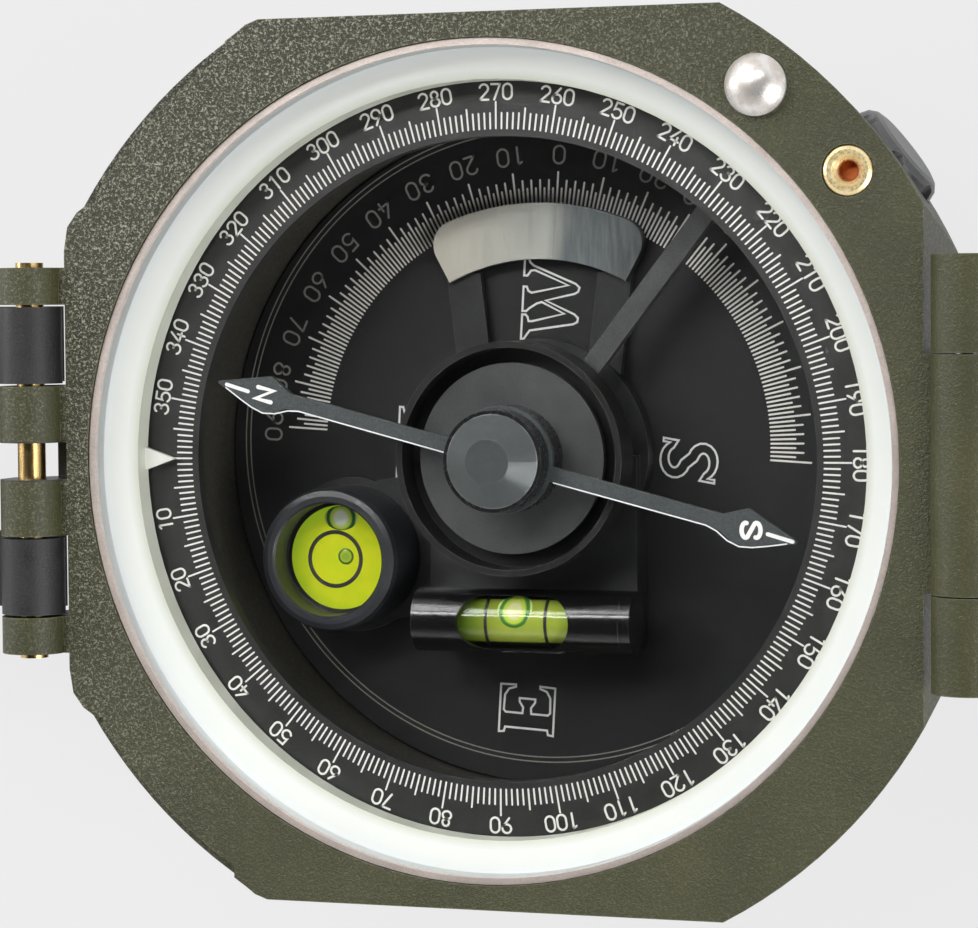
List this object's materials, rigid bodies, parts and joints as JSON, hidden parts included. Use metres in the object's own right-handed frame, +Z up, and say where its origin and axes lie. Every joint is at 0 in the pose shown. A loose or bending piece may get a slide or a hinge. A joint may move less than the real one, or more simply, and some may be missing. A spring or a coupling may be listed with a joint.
{
  "type": "pocket transit compass",
  "caption": "Pocket transit compass with an open mirror lid, a folding sight arm, a swinging needle, a turning azimuth ring, a clinometer and two spirit levels.",
  "frame": {"origin": "on the dial axis, on the flat base of the case", "axes": "+Z up along the dial axis, +X towards the lid, +Y towards 270 on the azimuth ring"},
  "size_m": [0.2205, 0.068, 0.0269],
  "materials": {
    "case_paint": "textured semi-gloss",
    "lid_paint": "textured semi-gloss",
    "spacer": "smooth",
    "glass": "clear",
    "ring_metal": "satin",
    "white_pointer": "satin",
    "black_dial": "satin",
    "black_ring": "satin",
    "brass": "worn",
    "steel": "satin",
    "knob_black": "satin",
    "needle_black": "satin",
    "hub_black": "gloss",
    "ruby": "polished",
    "magnet": "satin",
    "clino_black": "gloss",
    "vernier_metal": "satin",
    "level_black": "gloss",
    "level_glass": "clear",
    "level_liquid": "clear",
    "arm_black": "satin",
    "mirror_silver": "polished",
    "sight_metal": "satin"
  },
  "bodies": {
    "case": {"case_body": "case_paint", "spacer_ring": "spacer", "cover_glass": "glass", "retaining_ring": "ring_metal", "index_pointer": "white_pointer", "dial_plate": "black_dial", "dial_screws": "steel", "lock_bush": "brass", "lock_screw": "brass", "lifter_pin": "steel", "clinometer_bush": "brass", "arm_hinge_pin": "brass", "lid_hinge_pin": "steel"},
    "azimuth_ring": {"azimuth_ring": "black_ring"},
    "ring_adjuster": {"pinion_shaft": "brass", "adjuster_knob": "knob_black"},
    "lift_button": {"lift_pin": "steel", "lift_spring": "steel"},
    "lifter": {"lifter_lever": "clino_black"},
    "cup": {"lifting_cup": "hub_black"},
    "needle": {"needle_bar": "needle_black", "needle_hub": "hub_black", "needle_cap": "needle_black", "jewel_bearing": "ruby", "magnet_disc": "magnet"},
    "clinometer": {"clinometer_shaft": "steel", "pivot_post": "steel", "clinometer_arm": "clino_black", "vernier_plate": "vernier_metal", "vernier_rivets": "vernier_metal", "tube_housing": "level_black", "tube_vial": "level_glass", "tube_liquid": "level_liquid", "tube_plugs": "level_black", "round_housing": "level_black", "round_vial": "level_glass", "round_liquid": "level_liquid", "round_lens": "level_glass", "finger_lever": "clino_black", "finger_screw": "steel"},
    "sight_arm": {"sight_arm": "arm_black", "peep_pin": "steel"},
    "peep_sight": {"peep_sight": "arm_black"},
    "lid": {"lid_shell": "lid_paint", "mirror_glass": "mirror_silver", "mirror_bezel": "black_dial", "lid_sight_pin": "steel"},
    "lid_sight": {"lid_sight": "sight_metal"}
  },
  "joints": [
    {"name": "adjuster_turn", "type": "hinge", "parent": "case", "child": "ring_adjuster", "pos_m": [0.03106, 0.02358, 0.01479], "axis": [0.7965, 0.6046, 0], "continuous": true},
    {"name": "ring_turn", "type": "hinge", "parent": "case", "child": "azimuth_ring", "pos_m": [0, 0, 0.0184], "axis": [0, 0, 1], "continuous": true},
    {"name": "lift_press", "type": "slide", "parent": "case", "child": "lift_button", "axis": [0, 0, 1], "range_m": [-0.0004, 0], "stiffness_N_per_m": 400, "springref_m": 0.001, "deforming": ["lift_spring"]},
    {"name": "lifter_swing", "type": "hinge", "parent": "case", "child": "lifter", "pos_m": [0.01747, 0.02252, 0.0108], "axis": [-0.7902, 0.6129, 0], "range_deg": [0, 3.36]},
    {"name": "cup_lift", "type": "slide", "parent": "case", "child": "cup", "axis": [0, 0, 1], "range_m": [0, 0.0003]},
    {"name": "needle_spin", "type": "hinge", "parent": "cup", "child": "needle", "pos_m": [0, 0, 0.0184], "axis": [0, 0, 1], "continuous": true},
    {"name": "clinometer_turn", "type": "hinge", "parent": "case", "child": "clinometer", "pos_m": [0, 0, 0.006], "axis": [0, 0, 1], "range_deg": [-90, 90]},
    {"name": "arm_fold", "type": "hinge", "parent": "case", "child": "sight_arm", "pos_m": [-0.03695, 0, 0.0242], "axis": [0, 1, 0], "range_deg": [0, 180]},
    {"name": "peep_fold", "type": "hinge", "parent": "sight_arm", "child": "peep_sight", "pos_m": [-0.11095, 0, 0.017], "axis": [0, 1, 0], "range_deg": [-90, 0]},
    {"name": "lid_fold", "type": "hinge", "parent": "case", "child": "lid", "pos_m": [0.03725, -0.0005, 0.0242], "axis": [0, -1, 0], "range_deg": [0, 180]},
    {"name": "lid_sight_fold", "type": "hinge", "parent": "lid", "child": "lid_sight", "pos_m": [0.10715, 0, 0.023], "axis": [0, -1, 0], "range_deg": [-180, 0]}
  ],
  "couplings": [
    {"joint": "adjuster_turn", "follows": "ring_turn", "ratio": -15},
    {"joint": "lifter_swing", "follows": "lift_press", "rad_per_m": -145.99},
    {"joint": "cup_lift", "follows": "lift_press", "ratio": -0.75}
  ]
}
